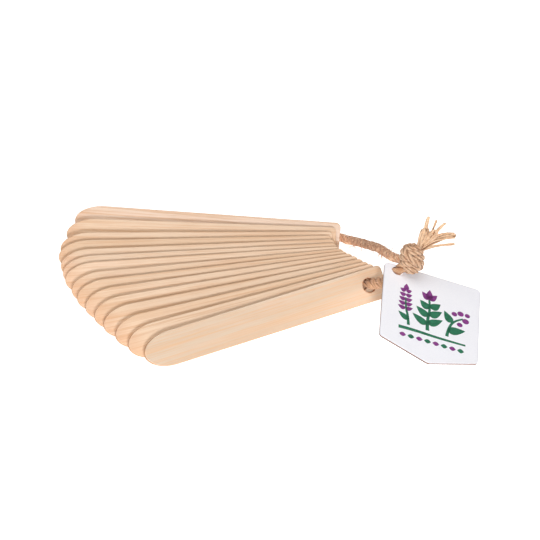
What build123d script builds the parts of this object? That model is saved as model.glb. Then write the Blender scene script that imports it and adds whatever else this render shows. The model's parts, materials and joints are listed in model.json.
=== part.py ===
from build123d import *
import os
from math import atan2, cos, hypot, pi, radians, sin, tan

# A bundle of wooden plant label stakes, fanned on a knotted jute cord that also carries a card tag.
# Millimetres. X runs along the stakes, +Y away from the viewer, +Z up, and the ground is z = 0.

os.makedirs("parts", exist_ok=True)

# Stakes
stake_length = 150.0
stake_width = 18.0
stake_thick = 2.0
stake_tip_length = 17.0
stake_corner_radius = 2.5
stake_edge_round = 0.35
stake_hole_inset = 10.5
stake_lean = 54.0
stake_gap = 2.0
stake_stagger = 2.0

# The fan, rear stake first: each stake's turn about the vertical, in degrees, then the step to the
# next one, as shares of the gap between faces and of the stagger along the stakes
fan_angles = [-9, -4.5, 0.5, 2.5, 5, 6.5, 8, 11.5, 14, 17, 20, 22.5, 26, 29.5, 33]
gap_shares = [1.6, 1.4, 1.0, 1.0, 0.95, 0.75, 0.55, 0.4, 0.5, 0.7, 0.9, 0.85, 0.65, 0.65]
stagger_shares = [0.8, 0.8, 0.3, -0.6, -0.4, -0.4, -1.1, -0.7, -1.1, -0.9, -0.8, -0.8, -0.7, -1.3]
rear_hole_x = 30.4
rear_hole_y = 56.0

# Cord
cord_dia = 4.8
squeezed_cord_dia = 3.8
stake_hole_clearance = 3.2
stake_hole_dia = cord_dia + stake_hole_clearance
knot_length = 15.6
knot_width = 12.6

# Tag
tag_width = 54.0
tag_side = 56.5
tag_point_drop = 10.5
tag_core_thick = 0.8
tag_face_thick = 0.15
tag_corner_radius = 2.5
tag_point_radius = 4.0
tag_hole_clearance = 1.4
tag_hole_dia = cord_dia + tag_hole_clearance
tag_hole_from_side = 7.5
tag_hole_from_top = 4.3
tag_lean = 14.5
tag_roll = 18.8
tag_hole_x = 69.4
tag_hole_y = -21.1

# The cord's route, chosen by hand: through the stakes from rear to front, round behind the rear
# stake and up to the knot, and from the front stake up through the tag to the knot
stack_route = [
    (32.7, 59.5, 7.9),
    (28.4, 52.8, 7.9),
    (25.7, 41.0, 7.9),
    (28.0, 27.6, 7.9),
    (36.4, 17.0, 7.9),
    (47.4, 5.0, 7.9),
    (55.6, -1.1, 7.9),
    (58.0, -3.6, 9.4),
]
back_route = [
    (32.7, 59.5, 7.9),
    (34.8, 62.8, 7.9),
    (38.2, 64.3, 5.9),
    (42.0, 63.3, 4.2),
    (45.8, 60.0, 4.4),
    (49.4, 53.1, 7.2),
    (52.6, 43.0, 11.4),
    (56.2, 31.0, 16.3),
    (59.6, 18.0, 22.0),
    (62.6, 6.0, 26.1),
    (65.6, -5.0, 29.0),
    (69.0, -14.0, 31.8),
    (72.6, -18.6, 34.2),
]
front_route = [
    (58.0, -3.6, 9.4),
    (61.5, -7.7, 11.7),
    (65.2, -14.6, 15.6),
    (67.6, -19.0, 22.0),
    (70.6, -22.6, 31.3),
    (74.4, -21.4, 34.6),
]
knot_centre = (76.5, -19.3, 35.4)
knot_axis = Vector(0.65, 0.26, 0.71)

# The frayed plies above the knot: each one's tip and its thickness there
tail_root = (81.2, -17.4, 40.5)
tail_root_dia = 4.2
ply_root_dia = 2.6
tails = [
    ((85.5, -17.3, 58.5), 1.5),
    ((90.3, -11.3, 53.7), 1.3),
    ((93.4, -22.3, 57.4), 1.4),
    ((100.6, -14.3, 45.2), 2.2),
    ((100.0, -23.3, 50.2), 2.2),
    ((99.8, -18.3, 42.3), 1.2),
]


def stake_places():
    """The plane of each stake's middle, with the hole's centre as its origin, X towards the square
    end and Y up the lean. Every lower edge stands on the ground."""
    lean = radians(stake_lean)
    hole_height = stake_width / 2 * sin(lean) + stake_thick / 2 * cos(lean)
    x, y = rear_hole_x, rear_hole_y
    places = []
    for number, angle in enumerate(fan_angles):
        if number:
            turn = radians((angle + fan_angles[number - 1]) / 2)
            forward = (stake_thick + stake_gap * gap_shares[number - 1]) / sin(lean)
            along = stake_stagger * stagger_shares[number - 1]
            x += forward * sin(turn) - along * cos(turn)
            y -= forward * cos(turn) + along * sin(turn)
        turn = radians(angle)
        face = (sin(turn) * sin(lean), -cos(turn) * sin(lean), cos(lean))
        places.append(Plane((x, y, hole_height), x_dir=(cos(turn), sin(turn), 0), z_dir=face))
    return places


def stake_part(place):
    """One flat stake: a half ellipse at the tip, a square end with eased corners and a cord hole."""
    half = stake_width / 2
    square_end = stake_hole_inset
    shoulder = stake_hole_inset - stake_length + stake_tip_length
    with BuildPart() as stake:
        with BuildSketch(place.offset(-stake_thick / 2)) as outline:
            with BuildLine():
                Polyline((shoulder, half), (square_end, half), (square_end, -half), (shoulder, -half))
                EllipticalCenterArc((shoulder, 0), stake_tip_length, half, 90, arc_size=180)
            make_face()
            fillet(outline.vertices().sort_by(Axis.X)[-2:], stake_corner_radius)
        extrude(amount=stake_thick)
        broad_faces = stake.faces().sort_by(Axis(place.origin, place.z_dir))
        fillet([broad_faces[0].edges(), broad_faces[-1].edges()], stake_edge_round)
        with BuildSketch(place.offset(-stake_thick)):
            Circle(stake_hole_dia / 2)
        extrude(amount=2 * stake_thick, mode=Mode.SUBTRACT)
    return stake.part


def bend_radii(points):
    """For each bend of a route, the largest radius that its two runs allow."""
    places = [Vector(*point) for point in points]
    radii = []
    for before, bend, after in zip(places, places[1:], places[2:]):
        arriving, leaving = bend - before, after - bend
        shorter = min(arriving.length, leaving.length)
        half_turn = radians(arriving.get_angle(leaving)) / 2
        radii.append(0.45 * shorter / tan(half_turn))
    return radii


def cord_part(name, points, diameter):
    """A round cord along straight runs joined by tangent arcs."""
    radii = bend_radii(points)
    with BuildPart() as cord:
        with BuildLine():
            path = FilletPolyline(*points, radius=radii)
        with BuildSketch(Plane(origin=path @ 0, z_dir=path % 0)):
            Circle(diameter / 2)
        sweep()
    expected = pi * diameter**2 / 4 * path.length
    print(f"{name}: {path.length:.1f} mm long, bends of {', '.join(f'{r:.1f}' for r in radii)} mm")
    print(f"{name}: volume {cord.part.volume:.1f}, section times length {expected:.1f}")
    return cord.part


def knot_part():
    """The knot's outer form, a plump spindle along its axis."""
    with BuildPart() as knot:
        with BuildSketch(Plane(knot_centre, x_dir=knot_axis, z_dir=knot_axis.cross(Vector(0, 0, 1)))):
            Ellipse(knot_length / 2, knot_width / 2)
            with Locations((0, -knot_width / 2)):
                Rectangle(knot_length, knot_width, mode=Mode.SUBTRACT)
        revolve(axis=Axis(knot_centre, knot_axis))
    return knot.part


def tails_part():
    """Six frayed plies that fan out of the knot's upper end, tapering to their tips."""
    with BuildPart() as fray:
        with Locations(tail_root):
            Sphere(tail_root_dia / 2)
        for tip, tip_dia in tails:
            ply = Vector(*tip) - Vector(*tail_root)
            with Locations(Plane(tail_root, z_dir=ply)):
                Cone(ply_root_dia / 2, tip_dia / 2, ply.length, align=(Align.CENTER, Align.CENTER, Align.MIN))
    return fray.part


def tag_place():
    """The plane of the tag's middle, with its hole's centre as the origin, X along the top edge and
    Y up the sides. Its height puts the lower right corner on the ground."""
    roll, lean = radians(tag_roll), radians(tag_lean)
    along = Vector(cos(roll), 0, -sin(roll))
    face = Vector(cos(lean) * sin(roll), -sin(lean), cos(lean) * cos(roll))
    up = face.cross(along)
    point_slope = atan2(tag_point_drop, tag_width / 2)
    corner_x = tag_width - tag_hole_from_side - tag_corner_radius
    corner_y = tag_hole_from_top - tag_side + tag_corner_radius * (1 - sin(point_slope)) / cos(point_slope)
    corner_reach = tag_corner_radius * hypot(along.Z, up.Z)
    half_thick = tag_core_thick / 2 + tag_face_thick
    height = corner_reach + half_thick * face.Z - corner_x * along.Z - corner_y * up.Z
    return Plane((tag_hole_x, tag_hole_y, height), x_dir=along, z_dir=face)


def tag_layer(start, thick):
    """One layer of the tag: straight top and sides, a shallow point below and a cord hole."""
    left = -tag_hole_from_side
    right = tag_width - tag_hole_from_side
    top = tag_hole_from_top
    bottom = tag_hole_from_top - tag_side
    point = ((left + right) / 2, bottom - tag_point_drop)
    with BuildPart() as layer:
        with BuildSketch(tag_place().offset(start)) as outline:
            with BuildLine():
                Polyline((left, top), (right, top), (right, bottom), point, (left, bottom), close=True)
            make_face()
            fillet(outline.vertices().sort_by(Axis.Y)[0], tag_point_radius)
            fillet(outline.vertices().sort_by(Axis.Y)[2:], tag_corner_radius)
            Circle(tag_hole_dia / 2, mode=Mode.SUBTRACT)
        extrude(amount=thick)
    return layer.part


pieces = {f"stake_{number:02d}": stake_part(place) for number, place in enumerate(stake_places(), 1)}
pieces["cord_in_stack"] = cord_part("cord_in_stack", stack_route, squeezed_cord_dia)
pieces["cord_back_run"] = cord_part("cord_back_run", back_route, cord_dia)
pieces["cord_front_run"] = cord_part("cord_front_run", front_route, cord_dia)
pieces["cord_knot"] = knot_part()
pieces["cord_tails"] = tails_part()
pieces["tag_board"] = tag_layer(-tag_core_thick / 2, tag_core_thick)
pieces["tag_front_face"] = tag_layer(tag_core_thick / 2, tag_face_thick)
pieces["tag_back_face"] = tag_layer(-tag_core_thick / 2 - tag_face_thick, tag_face_thick)

for name, piece in pieces.items():
    piece.label = name
    export_step(piece, f"parts/{name}.step")
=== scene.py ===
import json
import math

import bpy
import numpy as np
from mathutils import Euler, Matrix, Vector


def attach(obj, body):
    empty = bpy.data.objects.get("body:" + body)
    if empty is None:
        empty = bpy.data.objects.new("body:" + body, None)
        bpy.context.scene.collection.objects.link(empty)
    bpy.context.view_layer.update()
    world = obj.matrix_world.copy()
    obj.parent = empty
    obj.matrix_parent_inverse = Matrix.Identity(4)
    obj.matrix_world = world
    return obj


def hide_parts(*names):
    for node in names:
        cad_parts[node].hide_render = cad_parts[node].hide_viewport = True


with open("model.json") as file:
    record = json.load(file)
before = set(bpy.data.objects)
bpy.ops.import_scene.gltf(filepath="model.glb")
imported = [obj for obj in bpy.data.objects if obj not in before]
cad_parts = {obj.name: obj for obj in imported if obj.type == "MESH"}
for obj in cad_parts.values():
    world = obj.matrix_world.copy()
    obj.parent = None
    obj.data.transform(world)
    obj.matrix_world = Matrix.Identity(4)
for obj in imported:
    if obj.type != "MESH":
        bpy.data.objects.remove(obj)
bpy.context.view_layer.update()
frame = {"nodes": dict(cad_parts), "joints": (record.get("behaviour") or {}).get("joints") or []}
nodes = frame["nodes"]
dice = np.random.default_rng(24)
MM = 0.001

# Camera, at the photo's angle and straight from the front
CAMERA_X = 0.0022
CAMERA_AIM_Y = 0.0327
CAMERA_DISTANCE = 1.5
CAMERA_ELEVATION = math.radians(28)

camera_data = bpy.data.cameras.new("camera")
camera_data.lens = 182
camera_data.sensor_width = 36
camera_data.clip_start = 0.05
camera_data.clip_end = 20
camera = bpy.data.objects.new("camera", camera_data)
bpy.context.scene.collection.objects.link(camera)
camera.location = (
    CAMERA_X,
    CAMERA_AIM_Y - CAMERA_DISTANCE * math.cos(CAMERA_ELEVATION),
    CAMERA_DISTANCE * math.sin(CAMERA_ELEVATION),
)
camera.rotation_euler = Euler((math.radians(90) - CAMERA_ELEVATION, 0, 0))
bpy.context.scene.camera = camera

# The cord's routes: part.py's points in metres. The stack's last two, the back run's last and all of
# the front run's are moved by up to 3 mm to follow the photo.
stack_route = [
    (0.0327, 0.0595, 0.0079),
    (0.0284, 0.0528, 0.0079),
    (0.0257, 0.0410, 0.0079),
    (0.0280, 0.0276, 0.0079),
    (0.0364, 0.0170, 0.0079),
    (0.0474, 0.0050, 0.0079),
    (0.0556, -0.0011, 0.0087),
    (0.0582, -0.0036, 0.0111),
]
back_route = [
    (0.0327, 0.0595, 0.0079),
    (0.0348, 0.0628, 0.0079),
    (0.0382, 0.0643, 0.0059),
    (0.0420, 0.0633, 0.0042),
    (0.0458, 0.0600, 0.0044),
    (0.0494, 0.0531, 0.0072),
    (0.0526, 0.0430, 0.0114),
    (0.0562, 0.0310, 0.0163),
    (0.0596, 0.0180, 0.0220),
    (0.0626, 0.0060, 0.0261),
    (0.0656, -0.0050, 0.0290),
    (0.0690, -0.0140, 0.0318),
    (0.0726, -0.0188, 0.0335),
]
front_route = [
    (0.0582, -0.0036, 0.0111),
    (0.0616, -0.0076, 0.0136),
    (0.0650, -0.0130, 0.0174),
    (0.0668, -0.0180, 0.0227),
    (0.0699, -0.0225, 0.0306),
    (0.0755, -0.0224, 0.0322),
]
CORD_DIA = 4.8 * MM
SQUEEZED_DIA = 3.8 * MM
YARNS = 3
YARN_OVERLAP = 1.04
FIBRE_TURN = -250.0  # radians per metre that a yarn's fibres wind round it


def smooth_line(points, step=0.35 * MM):
    """The evenly spaced points of the smooth NURBS spline that these control points make."""
    curve = bpy.data.curves.new("route", "CURVE")
    curve.dimensions = "3D"
    curve.resolution_u = 32
    spline = curve.splines.new("NURBS")
    spline.points.add(len(points) - 1)
    for point, place in zip(spline.points, points):
        point.co = (*place, 1)
    spline.order_u = 3
    spline.use_endpoint_u = True
    spline.resolution_u = 32
    carrier = bpy.data.objects.new("route", curve)
    mesh = bpy.data.meshes.new_from_object(carrier)
    line = np.array([v.co for v in mesh.vertices], float)
    bpy.data.objects.remove(carrier)
    bpy.data.meshes.remove(mesh)
    bpy.data.curves.remove(curve)
    return evenly(line, step)


def evenly(line, step):
    along = np.concatenate([[0], np.cumsum(np.linalg.norm(np.diff(line, axis=0), axis=1))])
    at = np.linspace(0, along[-1], int(math.ceil(along[-1] / step)) + 1)
    return np.stack([np.interp(at, along, line[:, k]) for k in range(3)], axis=1)


def unit(v):
    return v / np.maximum(np.linalg.norm(v, axis=-1, keepdims=True), 1e-12)


def carried_frames(line):
    """Tangent, normal and binormal at each point of a line, carried along it without twist."""
    tangent = unit(np.gradient(line, axis=0))
    normal = np.zeros_like(line)
    side = np.cross(tangent[0], (0.0, 0.0, 1.0))
    if np.linalg.norm(side) < 0.2:
        side = np.cross(tangent[0], (1.0, 0.0, 0.0))
    normal[0] = unit(side)
    for i in range(1, len(line)):
        v = normal[i - 1] - tangent[i] * (normal[i - 1] @ tangent[i])
        normal[i] = unit(v)
    return tangent, normal, np.cross(tangent, normal)


def length_along(line):
    return np.concatenate([[0], np.cumsum(np.linalg.norm(np.diff(line, axis=0), axis=1))])


class MeshMaker:
    """Gathers closed tubes into one mesh, with a fibre coordinate and a depth value at each point."""

    def __init__(self):
        self.points, self.faces, self.fibre, self.depth = [], [], [], []

    def tube(self, line, across, up, radii, sides, fibre_turn=0.0, depth=None, flat=1.0, wobble=0.0):
        """A tube along line. across and up span each ring, and radii is its size at each point. depth
        gives, for each point, a centre and the reach from it at which the depth value falls to 0."""
        ripples, ripple_per_mm, fibre_stretch = 3, 0.9, 0.05
        n = len(line)
        base = len(self.points)
        along = length_along(line)
        angle = np.linspace(0, 2 * math.pi, sides, endpoint=False)
        ring_radii = np.broadcast_to(np.asarray(radii, float), (n,))
        shift = dice.uniform(0, 40)
        for i in range(n):
            ripple = np.sin(ripples * angle + along[i] / MM * ripple_per_mm + shift)
            size = ring_radii[i] * (1 + wobble * ripple)
            ring = (
                line[i]
                + np.outer(size * np.cos(angle), across[i])
                + np.outer(size * flat * np.sin(angle), up[i])
            )
            turned = angle + fibre_turn * along[i]
            wide = ring_radii[i] / MM
            self.points.extend(ring)
            self.fibre.extend(
                np.stack(
                    [
                        np.full(sides, along[i] / MM * fibre_stretch + shift),
                        np.cos(turned) * wide,
                        np.sin(turned) * wide,
                    ],
                    axis=1,
                )
            )
            if depth is None:
                self.depth.extend([0.0] * sides)
            else:
                centre, reach = depth[0][i], depth[1][i]
                self.depth.extend(np.clip(1 - np.linalg.norm(ring - centre, axis=1) / reach, 0, 1))
        for i in range(n - 1):
            a, b = base + i * sides, base + (i + 1) * sides
            for k in range(sides):
                m = (k + 1) % sides
                self.faces.append((a + k, a + m, b + m, b + k))
        self.faces.append(tuple(base + k for k in reversed(range(sides))))
        last = base + (n - 1) * sides
        self.faces.append(tuple(last + k for k in range(sides)))

    def build(self, name, material):
        mesh = bpy.data.meshes.new(name)
        mesh.from_pydata([tuple(p) for p in self.points], [], self.faces)
        fibre = mesh.attributes.new("fibre", "FLOAT_VECTOR", "POINT")
        fibre.data.foreach_set("vector", np.array(self.fibre, np.float32).ravel())
        depth = mesh.attributes.new("depth", "FLOAT", "POINT")
        depth.data.foreach_set("value", np.array(self.depth, np.float32))
        mesh.polygons.foreach_set("use_smooth", [True] * len(mesh.polygons))
        mesh.materials.append(material)
        mesh.update()
        piece = bpy.data.objects.new(name, mesh)
        bpy.context.scene.collection.objects.link(piece)
        return piece


# Materials
class Shader:
    """A small helper to lay out a material's nodes."""

    def __init__(self, name):
        self.material = bpy.data.materials.new(name)
        self.material.use_nodes = True
        self.tree = self.material.node_tree
        self.tree.nodes.clear()
        out = self.new("ShaderNodeOutputMaterial")
        self.bsdf = self.new("ShaderNodeBsdfPrincipled")
        self.link(self.bsdf.outputs["BSDF"], out.inputs["Surface"])

    def new(self, kind, **settings):
        node = self.tree.nodes.new(kind)
        for key, value in settings.items():
            setattr(node, key, value)
        return node

    def link(self, a, b):
        self.tree.links.new(a, b)

    def put(self, value, socket):
        if hasattr(value, "node"):
            self.link(value, socket)
        else:
            socket.default_value = value

    def mapped(self, vector, location=(0, 0, 0), rotation=(0, 0, 0), scale=(1, 1, 1)):
        node = self.new("ShaderNodeMapping", vector_type="POINT")
        self.link(vector, node.inputs["Vector"])
        node.inputs["Location"].default_value = location
        node.inputs["Rotation"].default_value = rotation
        node.inputs["Scale"].default_value = scale
        return node.outputs["Vector"]

    def noise(self, vector, scale=1.0, detail=3.0, roughness=0.5, distortion=0.0):
        node = self.new("ShaderNodeTexNoise")
        self.link(vector, node.inputs["Vector"])
        node.inputs["Scale"].default_value = scale
        node.inputs["Detail"].default_value = detail
        node.inputs["Roughness"].default_value = roughness
        node.inputs["Distortion"].default_value = distortion
        return node.outputs["Fac"]

    def math(self, operation, a, b=0.0):
        node = self.new("ShaderNodeMath", operation=operation)
        self.put(a, node.inputs[0])
        self.put(b, node.inputs[1])
        return node.outputs[0]

    def band(self, value, low, high, out_low=0.0, out_high=1.0):
        node = self.new("ShaderNodeMapRange", interpolation_type="SMOOTHSTEP")
        self.put(value, node.inputs["Value"])
        node.inputs["From Min"].default_value = low
        node.inputs["From Max"].default_value = high
        node.inputs["To Min"].default_value = out_low
        node.inputs["To Max"].default_value = out_high
        return node.outputs["Result"]

    def mix(self, factor, a, b):
        node = self.new("ShaderNodeMix", data_type="RGBA")
        self.put(factor, node.inputs[0])
        self.put(a, node.inputs[6])
        self.put(b, node.inputs[7])
        return node.outputs[2]

    def bump(self, height, strength, distance):
        node = self.new("ShaderNodeBump")
        self.link(height, node.inputs["Height"])
        node.inputs["Strength"].default_value = strength
        node.inputs["Distance"].default_value = distance
        return node.outputs["Normal"]

    def parts(self, vector):
        node = self.new("ShaderNodeSeparateXYZ")
        self.link(vector, node.inputs[0])
        return node.outputs


def srgb(r, g, b):
    """A linear colour from 0 to 255 display values."""

    def line(v):
        v /= 255
        return v / 12.92 if v <= 0.04045 else ((v + 0.055) / 1.055) ** 2.4

    return (line(r), line(g), line(b), 1.0)


STAKES = 15
PALE_WOOD = (234, 210, 184)
WARM_WOOD = (229, 201, 171)
ROSY_WOOD = srgb(230, 196, 173)
RING_BROWN = srgb(217, 179, 144)
LINE_BROWN = srgb(212, 173, 136)
FINE_BROWN = srgb(206, 166, 130)
TIP_BROWN = srgb(206, 158, 122)
EDGE_BROWN_AND_SHADE = srgb(186, 130, 86)
BORE_BROWN_AND_SHADE = srgb(170, 98, 54)
JUTE_BROWN = srgb(182, 124, 92)
JUTE_PALE = srgb(254, 222, 188)
# painted shade in the cord's grooves and round its core
JUTE_GROOVE_SHADE = srgb(112, 70, 42)
# the tone of the front stake and of the rest, the front one darker as painted shade that evens out the extra
# light it gets in front of the others, and the tints of the two stakes that differ in hue
FRONT_SHADE_TONE, OTHER_TONE = 0.905, 0.985
STAKE_TINTS = {1: (1.02, 1.04, 1.09), STAKES: (0.975, 0.985, 1.0)}
# a stake's own places: its tip and how far the tip's tint reaches, where its cut edge starts to
# show across its thickness, and the rim of its hole
TIP_X, TIP_TINT_X = -139.5 * MM, -127 * MM
EDGE_INNER, EDGE_OUTER = 0.60 * MM, 0.96 * MM
RIM_INNER, RIM_OUTER = 4.5 * MM, 5.1 * MM
RIM_RAGGED = 1.2 * MM


def wood_material(number, place):
    """Pale sawn wood, its grain along the stake. place is the stake's own frame: X along it towards
    its square end, Y up the lean and Z out of its face, with the hole's centre as the origin."""
    s = Shader(f"wood_{number:02d}")
    rng = np.random.default_rng(100 + number)
    turn = place.to_3x3().transposed()
    origin = -(turn @ place.translation)
    own = s.mapped(
        s.new("ShaderNodeTexCoord").outputs["Object"],
        location=tuple(origin),
        rotation=tuple(turn.to_euler("XYZ")),
    )
    shift = tuple(rng.uniform(-3, 3, 3))

    def grain(stretch, detail=2.0, roughness=0.6, distortion=0.0):
        return s.noise(s.mapped(own, shift, scale=stretch), 1.0, detail, roughness, distortion)

    broad = grain((3, 75, 60), roughness=0.5, distortion=0.4)
    rings = grain((5, 380, 250), roughness=0.55, distortion=0.3)
    lines = grain((16, 1150, 800))
    fine = grain((45, 2600, 1800))
    fibre = grain((150, 6500, 4500))
    blotch = grain((14, 70, 40), detail=3.0)
    # the front stake's lower tone is painted shade
    tone = rng.uniform(0.985, 1.015) * (FRONT_SHADE_TONE if number == STAKES else OTHER_TONE)
    tint = STAKE_TINTS.get(number, (1.0, 1.0, 1.0))
    pale = srgb(*(value * tone * part for value, part in zip(PALE_WOOD, tint)))
    warm = srgb(*(value * tone * part for value, part in zip(WARM_WOOD, tint)))
    colour = s.mix(s.band(broad, 0.36, 0.66), pale, warm)
    colour = s.mix(s.band(blotch, 0.54, 0.76, 0.0, rng.uniform(0.3, 0.6)), colour, ROSY_WOOD)
    colour = s.mix(s.band(rings, 0.50, 0.66, 0.0, 0.50), colour, RING_BROWN)
    colour = s.mix(s.band(lines, 0.48, 0.62, 0.0, 0.55), colour, LINE_BROWN)
    colour = s.mix(s.band(fine, 0.45, 0.70, 0.0, 0.35), colour, FINE_BROWN)
    x, y, z = s.parts(own)
    tip = s.band(x, TIP_X, TIP_TINT_X, 0.0 if number == STAKES else 0.42, 0.0)
    colour = s.mix(tip, colour, TIP_BROWN)
    # the cut edge darker: partly the sawn edge's own colour, partly painted shade along the lines between
    # stakes and on the lit lower edges
    edge = s.band(s.math("ABSOLUTE", z), EDGE_INNER, EDGE_OUTER, 1.0, 0.0)
    colour = s.mix(s.math("MULTIPLY", edge, 0.72), colour, EDGE_BROWN_AND_SHADE)
    # a ragged dark ring round the hole: partly the drilled wood's own colour, partly painted shade where the
    # hole and the cord shade its rim
    radius = s.math("SQRT", s.math("ADD", s.math("MULTIPLY", x, x), s.math("MULTIPLY", y, y)))
    ragged = s.math("ADD", radius, s.math("MULTIPLY", s.noise(own, 900, 2.0), RIM_RAGGED))
    bore_and_shade = s.band(ragged, RIM_INNER, RIM_OUTER, 1.0, 0.0)
    colour = s.mix(s.math("MULTIPLY", bore_and_shade, 0.90), colour, BORE_BROWN_AND_SHADE)
    s.link(colour, s.bsdf.inputs["Base Color"])
    s.link(s.band(fine, 0.3, 0.7, 0.52, 0.68), s.bsdf.inputs["Roughness"])
    s.bsdf.inputs["Specular IOR Level"].default_value = 0.3
    height = s.math("ADD", s.math("MULTIPLY", fine, 0.6), s.math("MULTIPLY", fibre, 0.4))
    s.link(s.bump(height, 0.5, 0.00012), s.bsdf.inputs["Normal"])
    return s.material


def jute_material(name, dark, light, groove_shade, mottle, shallow=0.16, deep=0.60):
    """Matted bast fibre: fine straws along each yarn, patches of tone (mottle is their strength), and grooves
    darkened with painted shade, by the argument after light, between the depths shallow and deep."""
    s = Shader(name)
    fibre = s.new("ShaderNodeAttribute", attribute_name="fibre").outputs["Vector"]
    depth = s.new("ShaderNodeAttribute", attribute_name="depth").outputs["Fac"]
    straw = s.noise(fibre, 2.4, 4.0, 0.7)
    patch = s.noise(s.new("ShaderNodeTexCoord").outputs["Object"], 560, 3.0, 0.7, 0.5)
    colour = s.mix(s.band(straw, 0.36, 0.64), dark, light)
    colour = s.mix(s.band(patch, 0.40, 0.62, 0.0, mottle), colour, JUTE_BROWN)
    colour = s.mix(s.band(patch, 0.24, 0.42, mottle, 0.0), colour, JUTE_PALE)
    # painted shade: the deeper a point lies towards the middle, the darker it is
    colour = s.mix(s.band(depth, shallow, deep, 0.0, groove_shade), colour, JUTE_GROOVE_SHADE)
    s.link(colour, s.bsdf.inputs["Base Color"])
    s.bsdf.inputs["Roughness"].default_value = 0.85
    s.bsdf.inputs["Specular IOR Level"].default_value = 0.15
    s.bsdf.inputs["Sheen Weight"].default_value = 0.2
    s.bsdf.inputs["Sheen Roughness"].default_value = 0.5
    s.link(s.bump(straw, 0.9, 0.0003), s.bsdf.inputs["Normal"])
    return s.material


def card_material(name, base, speckle, amount, rim_shading=None):
    """Smooth pulp board with faint speckles. Its last argument may add painted shade to its colour."""
    s = Shader(name)
    where = s.new("ShaderNodeTexCoord").outputs["Object"]
    pulp = s.noise(where, 1400, 4.0, 0.65)
    cloud = s.noise(where, 60, 3.0, 0.5)
    colour = s.mix(s.band(pulp, 0.35, 0.75, 0.0, amount), base, speckle)
    colour = s.mix(s.band(cloud, 0.4, 0.7, 0.0, amount * 0.5), colour, speckle)
    if rim_shading:
        colour = rim_shading(s, colour)
    s.link(colour, s.bsdf.inputs["Base Color"])
    s.link(s.band(cloud, 0.3, 0.7, 0.42, 0.55), s.bsdf.inputs["Roughness"])
    s.bsdf.inputs["Specular IOR Level"].default_value = 0.35
    s.link(s.bump(pulp, 0.25, 0.00006), s.bsdf.inputs["Normal"])
    return s.material


def ink_material(name, colour, darker):
    """Printing ink that lies a little unevenly."""
    s = Shader(name)
    where = s.new("ShaderNodeTexCoord").outputs["Object"]
    uneven = s.noise(where, 500, 3.0, 0.6)
    s.link(s.mix(s.band(uneven, 0.35, 0.7), colour, darker), s.bsdf.inputs["Base Color"])
    s.bsdf.inputs["Roughness"].default_value = 0.5
    s.bsdf.inputs["Specular IOR Level"].default_value = 0.3
    s.link(s.bump(uneven, 0.15, 0.00004), s.bsdf.inputs["Normal"])
    return s.material


def show_with(node, material):
    """Gives a CAD node its material."""
    nodes[node].data.materials.clear()
    nodes[node].data.materials.append(material)
    nodes[node].data.polygons.foreach_set("material_index", [0] * len(nodes[node].data.polygons))


# Stakes: each joint's axis points out of the stake's back, through its hole
for joint in frame["joints"]:
    if joint["name"].startswith("stake_"):
        node = joint["name"][:8]
        face = -Vector(joint["axis"]).normalized()
        along = Vector((-face.y, face.x, 0)).normalized()
        place = Matrix((along, face.cross(along), face)).transposed().to_4x4()
        place.translation = Vector(joint["pos_m"])
        show_with(node, wood_material(int(node[-2:]), place))

# Cord
jute = jute_material(
    "jute", srgb(224, 168, 132), JUTE_PALE, groove_shade=0.75, mottle=0.75, shallow=0.12, deep=0.45
)
# a darker copy of the jute: painted shadow of the tag on the front run and on the run through the stack
tag_shadow_jute = jute_material(
    "jute_front_painted_shadow", srgb(172, 126, 92), srgb(220, 180, 144), groove_shade=0.92, mottle=0.35, shallow=0.10, deep=0.40
)
knot_jute = jute_material(
    "jute_knot", srgb(186, 147, 115), srgb(236, 206, 174), groove_shade=0.88, mottle=0.40, shallow=0.08, deep=0.38
)
hair = jute_material("jute_hair", srgb(212, 156, 120), srgb(255, 228, 196), groove_shade=0.0, mottle=0.60)
straw_jute = jute_material(
    "jute_straw", srgb(206, 160, 118), srgb(252, 226, 194), groove_shade=0.85, mottle=0.20, shallow=0.10, deep=0.50
)
back_line = smooth_line(back_route)
stack_line = smooth_line(stack_route)
front_line = smooth_line(front_route)
whole = np.concatenate([back_line[::-1], stack_line[1:], front_line[1:]])
first, last = len(back_line) - 1, len(back_line) + len(stack_line) - 2
travel = length_along(whole)
# the cord's radius along the whole line: squeezed in the stakes' holes, looser where it leaves the front one
radius_profile = [
    (travel[first], CORD_DIA / 2),
    (travel[first] + 3 * MM, SQUEEZED_DIA / 2),
    (travel[last] - 5 * MM, SQUEEZED_DIA / 2 + 0.1 * MM),
    (travel[last] - 2.5 * MM, 3.1 * MM),
    (travel[last] + 3 * MM, 3.2 * MM),
    (travel[-1], 2.8 * MM),
]
rope_radius = np.interp(travel, *zip(*radius_profile))
PITCH = 15 * MM  # one full turn of the rope's yarns
whole_frames = carried_frames(whole)


def lay_yarns(maker, line, frames, radius, turn, sides=12, wobble=0.10, core=0.74):
    """Yarns twisted round a core, pressed together so that only shallow grooves show. core is its
    radius as a share of the cord's."""
    _, n, b = frames
    spread = math.sin(math.pi / YARNS)
    touching = radius * spread / (1 + spread)
    yarn = touching * YARN_OVERLAP
    for k in range(YARNS):
        angle = turn + 2 * math.pi * k / YARNS
        outward = np.cos(angle)[:, None] * n + np.sin(angle)[:, None] * b
        middle = line + outward * (radius - yarn)[:, None]
        own = unit(np.gradient(middle, axis=0))
        outward = unit(outward - own * (outward * own).sum(1, keepdims=True))
        maker.tube(
            middle, outward, np.cross(own, outward), yarn, sides,
            fibre_turn=FIBRE_TURN, depth=(line, radius), wobble=wobble,
        )
    maker.tube(line, n, b, radius * core, 12, depth=(line, radius))


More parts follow.
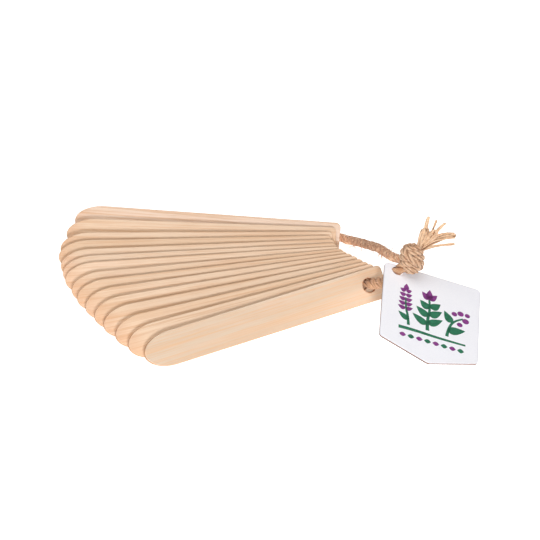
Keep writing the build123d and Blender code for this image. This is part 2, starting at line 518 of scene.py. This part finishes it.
def lay_hairs(maker, line, frames, radius, count, longest, stand=0.10, loose=0.08):
    """Short fibres that lie along a cord's surface in all directions. stand is how far they rise as a
    share of its radius, and loose is the share of them with one end standing off it."""
    _, n, b = frames
    travel_here = length_along(line)
    for _ in range(count):
        long = dice.uniform(0.3, 1.0) * longest
        start = dice.uniform(0, max(travel_here[-1] - long, 0.1 * MM))
        standing = dice.uniform() < loose
        u = np.linspace(0, 1, 7)
        at = np.interp(start + u * long, travel_here, np.arange(len(line)))
        i = np.clip(at.astype(int), 0, len(line) - 2)
        part = (at - i)[:, None]
        where = line[i] * (1 - part) + line[i + 1] * part
        angle = dice.uniform(0, 2 * math.pi) + dice.normal(0.5, 0.7) * u * long / (3 * MM)
        rise = 0.96 + stand * np.sin(math.pi * u) * dice.uniform(0.2, 1.0)
        if standing:
            rise = 0.98 + u * u * dice.uniform(0.3, 1.3)
        if dice.uniform() < 0.5:
            where, angle, rise = where[::-1], angle[::-1], rise if standing else rise[::-1]
        out = np.cos(angle)[:, None] * n[i] + np.sin(angle)[:, None] * b[i]
        path = where + out * (radius[i] * rise)[:, None]
        _, across, up = carried_frames(path)
        thick = (0.17 if standing else dice.uniform(0.07, 0.17)) * MM
        maker.tube(path, across, up, thick * np.array([0.6, 1, 1, 1, 0.9, 0.7, 0.4]), 4)


def cord_piece(name, i, j, node, material, core):
    """The rope from point i to point j of the whole line, in place of a CAD node."""
    maker = MeshMaker()
    part = slice(i, j + 1)
    turn = 2 * math.pi * travel[part] / PITCH
    lay_yarns(maker, whole[part], [f[part] for f in whole_frames], rope_radius[part], turn, core=core)
    piece = maker.build(name, material)
    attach(piece, "cord")
    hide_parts(node)
    return piece


def hair_piece(name, line, frames, radius, count, longest, stand, loose):
    """The stray fibres of one stretch of the cord."""
    maker = MeshMaker()
    lay_hairs(maker, line, frames, radius, count, longest, stand, loose)
    piece = maker.build(name, hair)
    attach(piece, "cord")
    return piece


back_piece = cord_piece("back_run", 0, first, "cord_back_run", jute, 0.74)
cord_piece("stack_run", first, last, "cord_in_stack", tag_shadow_jute, 0.58)
front_piece = cord_piece("front_run", last, len(whole) - 1, "cord_front_run", tag_shadow_jute, 0.68)
shown_back = slice(0, first - 30)  # not the end that goes into the rear stake's hole
back_hairs = hair_piece(
    "back_fibres", whole[shown_back], [f[shown_back] for f in whole_frames], rope_radius[shown_back],
    count=620, longest=5.0 * MM, stand=0.07, loose=0.05,
)
front_part = slice(last + 4, len(whole))
front_hairs = hair_piece(
    "front_fibres", whole[front_part], [f[front_part] for f in whole_frames], rope_radius[front_part],
    count=60, longest=3.0 * MM, stand=0.04, loose=0.02,
)

# Knot: an oval of wraps round a core, its centre in metres and its sizes in millimetres. KNOT_UP is
# the oval's long axis and KNOT_AXIS that of the neck, from which the frayed ends stand.
KNOT_CENTRE = np.array((0.0769, -0.0206, 0.0352))
KNOT_AXIS = unit(np.array((0.65, 0.26, 0.71)))
KNOT_UP = unit(np.array((-0.08, 0.33, 0.94)))
KNOT_HALF_LENGTH = 8.8
KNOT_HALF_WIDTH = 7.1
KNOT_STRAND = 3.1
KNOT_CROSSING = 3.3
KNOT_CORE = 8.0
KNOT_NECK = 4.4
WRAP_STEPS = 84
WRAP_TURNS = 6.3
WRAP_START = 2.4
WRAP_FIRST_POLAR, WRAP_LAST_POLAR = 163, 17
TUCK_SHARE = 0.06  # the share of the wraps, at each end, that dives into the knot
# the way the tag faces and its hole's centre, as in part.py. The strands' middles stay KNOT_LIFT or
# more above the middle of its board.
TAG_NORMAL = np.array((0.3120, -0.2504, 0.9165))
TAG_HOLE = np.array((0.0694, -0.0211, 0.027651))
KNOT_LIFT = 2.25 * MM
side = unit(np.cross(KNOT_UP, (0.0, 1.0, 0.0)))
over = np.cross(side, KNOT_UP)


def knot_point(polar, turn, reach):
    """A point just inside the knot's oval, by its angle from the oval's long axis and its turn round it."""
    inset = KNOT_STRAND / 2
    outward = (side * math.cos(turn) + over * math.sin(turn)) * math.sin(polar) * (KNOT_HALF_WIDTH - inset)
    upward = KNOT_UP * math.cos(polar) * (KNOT_HALF_LENGTH - inset)
    place = KNOT_CENTRE + (outward + upward) * reach * MM
    above = (place - TAG_HOLE) @ TAG_NORMAL
    return place + TAG_NORMAL * max(0.0, KNOT_LIFT - above)


def knot_strand(maker, hairs, controls, dia, turn=0.0, twist=8.5 * MM, fuzz=0):
    """A twisted strand along a smooth line through controls, with fuzz stray fibres."""
    line = smooth_line([tuple(p) for p in controls], 0.3 * MM)
    frames = carried_frames(line)
    radius = np.full(len(line), dia / 2 * MM)
    lay_yarns(maker, line, frames, radius, turn + 2 * math.pi * length_along(line) / twist, 10, 0.06)
    if fuzz:
        lay_hairs(hairs, line, frames, radius, fuzz, 3.0 * MM, 0.06, 0.03)


knot, knot_hairs = MeshMaker(), MeshMaker()
wraps = []
for step in range(WRAP_STEPS):
    share = step / (WRAP_STEPS - 1)
    tuck = min(1.0, 0.5 + share / TUCK_SHARE, 0.5 + (1 - share) / TUCK_SHARE)
    polar = math.radians(WRAP_FIRST_POLAR - (WRAP_FIRST_POLAR - WRAP_LAST_POLAR) * share)
    wraps.append(knot_point(polar, 2 * math.pi * WRAP_TURNS * share + WRAP_START, tuck))
knot_strand(knot, knot_hairs, wraps, KNOT_STRAND, fuzz=90)
# the turn that crosses the front, from the upper left to the lower right
crossing = [
    knot_point(math.radians(polar), math.radians(turn), reach)
    for polar, turn, reach in (
        (30, 20, 0.6), (38, -15, 1.0), (58, -48, 1.14), (82, -80, 1.18), (104, -112, 1.18), (124, -145, 1.12),
        (140, -180, 1.0), (150, -215, 0.6),
    )
]
knot_strand(knot, knot_hairs, crossing, KNOT_CROSSING, 0.8, twist=15 * MM, fuzz=20)
core = [KNOT_CENTRE + KNOT_UP * a * MM for a in (-4.0, -2.0, 0.0, 2.0, 4.6)]
knot_strand(knot, knot_hairs, core, KNOT_CORE, 1.0, twist=40 * MM)
neck = [KNOT_CENTRE + KNOT_AXIS * a * MM for a in (0.0, 2.5, 5.0, 7.0)]
knot_strand(knot, knot_hairs, neck, KNOT_NECK, 0.4, fuzz=10)
knot_piece = knot.build("knot", knot_jute)
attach(knot_piece, "cord")
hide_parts("cord_knot")
knot_fuzz = knot_hairs.build("knot_fibres", hair)
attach(knot_fuzz, "cord")

# Frayed tails. Each bundle, in millimetres: its middle's points, its half width at even steps along
# them, how flat it is, and how many loose fibres it has. A bundle of few fibres is one stiff straw.
BUNDLES = [
    (
        [
            (80.9, -17.8, 38.7), (82.0, -17.3, 42.0), (82.9, -17.0, 45.5),
            (83.6, -17.0, 48.8), (83.8, -17.0, 51.6),
        ],
        (2.0, 2.4, 2.7, 2.7, 1.9), 0.7, 120,
    ),
    (
        [
            (81.7, -17.4, 41.4), (82.9, -16.6, 46.3), (84.1, -16.6, 51.8),
            (85.3, -17.0, 58.1),
        ],
        (0.95, 0.95, 0.95, 0.95), 0.8, 12,
    ),
    (
        [
            (82.0, -16.6, 39.9), (85.2, -15.2, 44.4), (87.9, -14.0, 48.7),
            (89.8, -12.9, 54.0),
        ],
        (0.8, 0.5, 0.4, 0.8), 0.7, 8,
    ),
    (
        [
            (81.6, -18.0, 40.1), (84.4, -18.5, 44.1), (87.3, -19.3, 48.1),
            (89.6, -20.1, 51.6),
        ],
        (1.7, 1.7, 2.3, 2.0), 0.6, 90,
    ),
    (
        [
            (87.6, -19.6, 48.0), (91.1, -21.2, 53.6), (93.3, -22.4, 57.0),
            (94.2, -22.6, 56.6),
        ],
        (0.9, 0.9, 0.85, 0.6), 0.8, 8,
    ),
    (
        [
            (81.9, -17.6, 39.6), (86.3, -17.0, 43.5), (91.6, -16.6, 45.8),
            (96.3, -16.4, 46.7), (100.0, -16.4, 46.6),
        ],
        (1.6, 1.4, 1.6, 1.9, 1.8), 0.6, 100,
    ),
    (
        [
            (81.9, -18.4, 39.4), (85.7, -19.2, 42.8), (90.3, -20.2, 45.5),
            (94.6, -21.0, 47.2),
        ],
        (1.4, 0.9, 0.7, 0.4), 0.7, 26,
    ),
    (
        [
            (82.2, -17.2, 39.6), (86.9, -17.0, 44.1), (92.2, -16.9, 47.2),
            (98.0, -16.9, 47.9),
        ],
        (1.4, 1.1, 1.2, 1.0), 0.7, 40,
    ),
    (
        [
            (81.9, -18.2, 39.2), (85.9, -18.0, 40.4), (91.6, -18.0, 41.8),
            (99.4, -18.2, 42.5),
        ],
        (1.2, 0.65, 0.55, 0.85), 0.7, 12,
    ),
]
STRAW_FIBRES = 20
BLUNT_SHARE = 0.03


def lay_bundle(maker, controls, widths, flat, count):
    """A tapering body of matted fibre with loose fibres along and round it."""
    middle = smooth_line([(np.array(p) * MM) for p in controls], 0.5 * MM)
    _, deep, wide = carried_frames(middle)
    deep = -deep
    share = np.linspace(0, 1, len(middle))
    half = np.interp(share, np.linspace(0, 1, len(widths)), widths) * MM
    straw = count < STRAW_FIBRES
    blunt = np.clip((1 - share) / BLUNT_SHARE + 0.35, 0, 1)
    fullness = 0.95 if straw else 0.9 * np.clip((1 - share) / 0.08, 0.5, 1) ** 0.5
    body = half * blunt * fullness
    # how far into the bundle the jute's painted groove shade reaches
    shade_reach = body * (1.0 if straw else np.interp(share, [0.7, 0.85], [1.35, 1.05]))
    maker.tube(middle, wide, deep, body, 14, flat=flat, wobble=0.12, depth=(middle, shade_reach))
    for _ in range(count):
        angle = dice.uniform(0, 2 * math.pi)
        drift = angle + dice.normal(0, 0.5) * share
        inner = dice.uniform(0.5, 1.0) if straw else dice.uniform(0.0, 1.0) ** 0.25
        reach = half * ((1 - share) * max(inner, 0.85) + share * inner) * 1.02
        line = (
            middle
            + wide * (reach * np.cos(drift))[:, None]
            + deep * (reach * flat * np.sin(drift))[:, None]
            + np.outer(np.sin(share * dice.uniform(3, 9) + dice.uniform(0, 6)), dice.normal(0, 0.08, 3) * MM)
        )
        keep = max(6, int(len(line) * (dice.uniform(0.85, 1.0) if straw else dice.uniform(0.82, 0.98))))
        begin = int(dice.uniform(0, 0.45) * keep)
        line = line[begin:keep:2]
        _, across, up = carried_frames(line)
        radii = np.linspace(1.0, 0.85, len(line)) * dice.uniform(0.14, 0.27) * MM
        maker.tube(line, across, up, radii, 5, flat=0.7)


tails = MeshMaker()
for bundle in BUNDLES:
    lay_bundle(tails, *bundle)
tails_piece = tails.build("tails", straw_jute)
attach(tails_piece, "cord")
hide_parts("cord_tails")

# Tag. Its own places are in millimetres from its hole's centre, along its top edge and up its sides.
tag_joint = next(j for j in frame["joints"] if j["name"] == "tag_swing")
tag_face = Vector(tag_joint["axis"]).normalized()
tag_along = Vector((tag_face.z, 0, -tag_face.x)).normalized()
tag_up = tag_face.cross(tag_along)
tag_hole = Vector(tag_joint["pos_m"])
TAG_LEFT, TAG_RIGHT, TAG_TOP = -7.5, 46.5, 4.3
# how wide the painted grey rim shade on the tag's face is
RIM_SHADE_WIDTH = 0.7
FACE_TOP = 0.55
INK_GAP, INK_TOP = 0.004, 0.03
# the print is drawn round PRINT_DRAWN and moved from there to PRINT_PLACED
PRINT_SCALE = 1.06
PRINT_DRAWN = (19.5, -26.0)
PRINT_PLACED = (18.2, -27.0)


def painted_rim_shade(s, colour):
    """Painted shade: a grey line along the white card's top and sides."""
    turn = Matrix((tag_along, tag_up, tag_face))
    own = s.mapped(
        s.new("ShaderNodeTexCoord").outputs["Object"],
        location=tuple(-(turn @ tag_hole)),
        rotation=tuple(turn.to_euler("XYZ")),
    )
    x, y, _ = s.parts(own)
    left = s.band(x, TAG_LEFT * MM, (TAG_LEFT + RIM_SHADE_WIDTH) * MM, 1.0, 0.0)
    right = s.band(x, (TAG_RIGHT - RIM_SHADE_WIDTH) * MM, TAG_RIGHT * MM)
    top = s.band(y, (TAG_TOP - RIM_SHADE_WIDTH) * MM, TAG_TOP * MM)
    rim = s.math("MAXIMUM", s.math("MAXIMUM", left, right), top)
    return s.mix(s.math("MULTIPLY", rim, 0.55), colour, srgb(190, 190, 200))


show_with("tag_board", card_material("card_core", srgb(132, 84, 56), srgb(96, 60, 40), 0.8))
white = card_material("card_face", srgb(247, 249, 255), srgb(236, 239, 248), 0.5, painted_rim_shade)
show_with("tag_front_face", white)
show_with("tag_back_face", white)


def tag_point(a, b, lift):
    """The place that is a along the tag, b up it and lift out of the board's middle."""
    return tag_hole + (tag_along * a + tag_up * b + tag_face * lift) * MM


class Print:
    """Flat shapes of ink on the tag's front, each a thin closed slab."""

    def __init__(self):
        self.points, self.faces = [], []

    def shape(self, outline):
        """A slab of ink with this outline, turned to run anticlockwise."""
        drawn, placed = PRINT_DRAWN, PRINT_PLACED
        outline = [
            ((a - drawn[0]) * PRINT_SCALE + placed[0], (b - drawn[1]) * PRINT_SCALE + placed[1])
            for a, b in outline
        ]
        area = sum(p[0] * q[1] - q[0] * p[1] for p, q in zip(outline, outline[1:] + outline[:1]))
        if area < 0:
            outline = outline[::-1]
        n, base = len(outline), len(self.points)
        self.points += [tag_point(a, b, FACE_TOP + INK_GAP) for a, b in outline]
        self.points += [tag_point(a, b, FACE_TOP + INK_TOP) for a, b in outline]
        self.faces.append(tuple(base + k for k in reversed(range(n))))
        self.faces.append(tuple(base + n + k for k in range(n)))
        for k in range(n):
            m = (k + 1) % n
            self.faces.append((base + k, base + m, base + n + m, base + n + k))

    def leaf(self, a, b, angle, long, wide, tip=0.6):
        """A leaf from its stalk end at (a, b), pointing along angle in degrees."""
        c, s = math.cos(math.radians(angle)), math.sin(math.radians(angle))
        edge = []
        for k in range(13):
            u = k / 12
            edge.append((u * long, wide / 2 * math.sin(math.pi * u**tip) ** 0.9))
        edge += [(x, -y) for x, y in edge[-2:0:-1]]
        self.shape([(a + x * c - y * s, b + x * s + y * c) for x, y in edge])

    def dot(self, a, b, dia):
        angles = [k * math.pi / 12 for k in range(24)]
        self.shape([(a + dia / 2 * math.cos(t), b + dia / 2 * math.sin(t)) for t in angles])

    def stem(self, points, wide):
        """A curved stroke through given points."""
        line = smooth_line([(x, y, 0.0) for x, y in points], 0.6)[:, :2]
        way = unit(np.gradient(line, axis=0))
        off = np.stack([-way[:, 1], way[:, 0]], axis=1)
        share = np.linspace(0, 1, len(line))[:, None]
        half = wide / 2 * (1 - 0.45 * share)
        left, right = line + off * half, line - off * half
        self.shape([tuple(p) for p in left] + [tuple(p) for p in right[::-1]])

    def build(self, name, material):
        mesh = bpy.data.meshes.new(name)
        mesh.from_pydata([tuple(p) for p in self.points], [], self.faces)
        mesh.materials.append(material)
        mesh.update()
        piece = bpy.data.objects.new(name, mesh)
        bpy.context.scene.collection.objects.link(piece)
        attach(piece, "tag")
        return piece


green, purple = Print(), Print()
# middle: a leafy shoot with a three-leaved bud
green.stem([(19.5, -37.0), (19.0, -30.0), (20.4, -22.0), (19.6, -14.5)], 1.9)
for a, b, tilt, long in ((19.2, -32.5, 38, 9.4), (19.8, -26.5, 42, 8.4), (20.2, -20.8, 46, 7.0)):
    green.leaf(a + 0.5, b, tilt, long, 4.6)
    green.leaf(a - 0.5, b - 0.8, 180 - tilt, long, 4.6)
for tilt in (50, 90, 130):
    purple.leaf(19.6, -14.9, tilt, 7.4 if tilt == 90 else 6.2, 3.9)
# left: an upright spike of small florets
green.stem([(9.6, -37.0), (9.2, -31.0), (7.6, -25.0), (7.4, -18.0)], 1.5)
green.leaf(9.4, -33.5, 140, 7.0, 3.6)
for row in range(5):
    b = -26.4 + row * 3.2
    purple.leaf(7.7 - row * 0.05, b, 28, 4.2 - row * 0.25, 2.9)
    purple.leaf(7.3 - row * 0.05, b, 152, 4.2 - row * 0.25, 2.9)
purple.leaf(7.4, -12.4, 90, 4.4, 2.8)
# right: an arching stalk with berries and a broad leaf
green.stem([(29.6, -37.0), (30.2, -30.5), (33.4, -24.0), (37.6, -21.5)], 1.7)
green.leaf(30.0, -33.0, 20, 9.6, 5.4)
green.leaf(31.6, -26.6, 118, 8.4, 4.4)
berries = [(39.0, -22.6, 3.6), (36.2, -18.2, 3.4), (33.0, -19.6, 3.0), (39.8, -18.2, 2.8), (36.0, -26.2, 3.0)]
for berry in berries:
    purple.dot(*berry)
# below: a plain ground line and a row of seeds
green.stem([(4.6, -39.8), (12.0, -39.4), (26.0, -40.2), (39.4, -39.8)], 2.2)
for k in range(8):
    (green if k % 2 else purple).leaf(5.2 + k * 4.3, -44.6, 0, 3.5, 2.9, 1.0)
green.build("print_green", ink_material("ink_green", srgb(48, 124, 92), srgb(38, 104, 78)))
purple.build("print_purple", ink_material("ink_purple", srgb(142, 66, 142), srgb(118, 52, 122)))

# Floor and light
FLOOR_HALF = 6
FLOOR_GLOW = 0.74
floor_shader = Shader("floor")
spot = floor_shader.new("ShaderNodeTexCoord").outputs["Object"]
faint = floor_shader.noise(spot, 30, 2.0, 0.5)
floor_shader.link(
    floor_shader.mix(floor_shader.band(faint, 0.3, 0.7), (0.93, 0.93, 0.93, 1), (0.95, 0.95, 0.95, 1)),
    floor_shader.bsdf.inputs["Base Color"],
)
floor_shader.bsdf.inputs["Roughness"].default_value = 0.9
floor_shader.bsdf.inputs["Emission Color"].default_value = (1, 1, 1, 1)
floor_shader.bsdf.inputs["Emission Strength"].default_value = FLOOR_GLOW
floor_shader.bsdf.inputs["Specular IOR Level"].default_value = 0.1
floor_mesh = bpy.data.meshes.new("floor")
corners = [(x * FLOOR_HALF, y * FLOOR_HALF, 0) for x, y in ((-1, -1), (1, -1), (1, 1), (-1, 1))]
floor_mesh.from_pydata(corners, [], [(0, 1, 2, 3)])
floor_mesh.materials.append(floor_shader.material)
floor = bpy.data.objects.new("floor", floor_mesh)
bpy.context.scene.collection.objects.link(floor)


def soft_light(name, place, size, watts, colour):
    """A round area light at place, turned to the middle of the ground under the object."""
    data = bpy.data.lights.new(name, "AREA")
    data.color = colour
    data.shape = "DISK"
    data.size = size
    data.energy = watts
    lamp = bpy.data.objects.new(name, data)
    bpy.context.scene.collection.objects.link(lamp)
    lamp.location = place
    lamp.rotation_euler = (-Vector(place)).to_track_quat("-Z", "Y").to_euler()


soft_light("key", (0.08, -1.39, 0.50), 0.18, 11.5, (0.98, 1.0, 1.04))
soft_light("fill", (-0.15, -1.25, 0.88), 0.5, 2.4, (1.0, 0.91, 0.82))
soft_light("top", (-0.10, -0.30, 1.50), 1.6, 12.0, (1.0, 0.98, 0.97))
soft_light("rear", (0.30, 1.30, 0.40), 0.6, 2.2, (1.0, 0.97, 0.94))
world = bpy.data.worlds.new("world")
world.use_nodes = True
world.node_tree.nodes["Background"].inputs["Color"].default_value = (1, 0.90, 0.80, 1)
world.node_tree.nodes["Background"].inputs["Strength"].default_value = 0.18
bpy.context.scene.world = world
bpy.context.scene.view_settings.view_transform = "Standard"

bpy.context.view_layer.update()
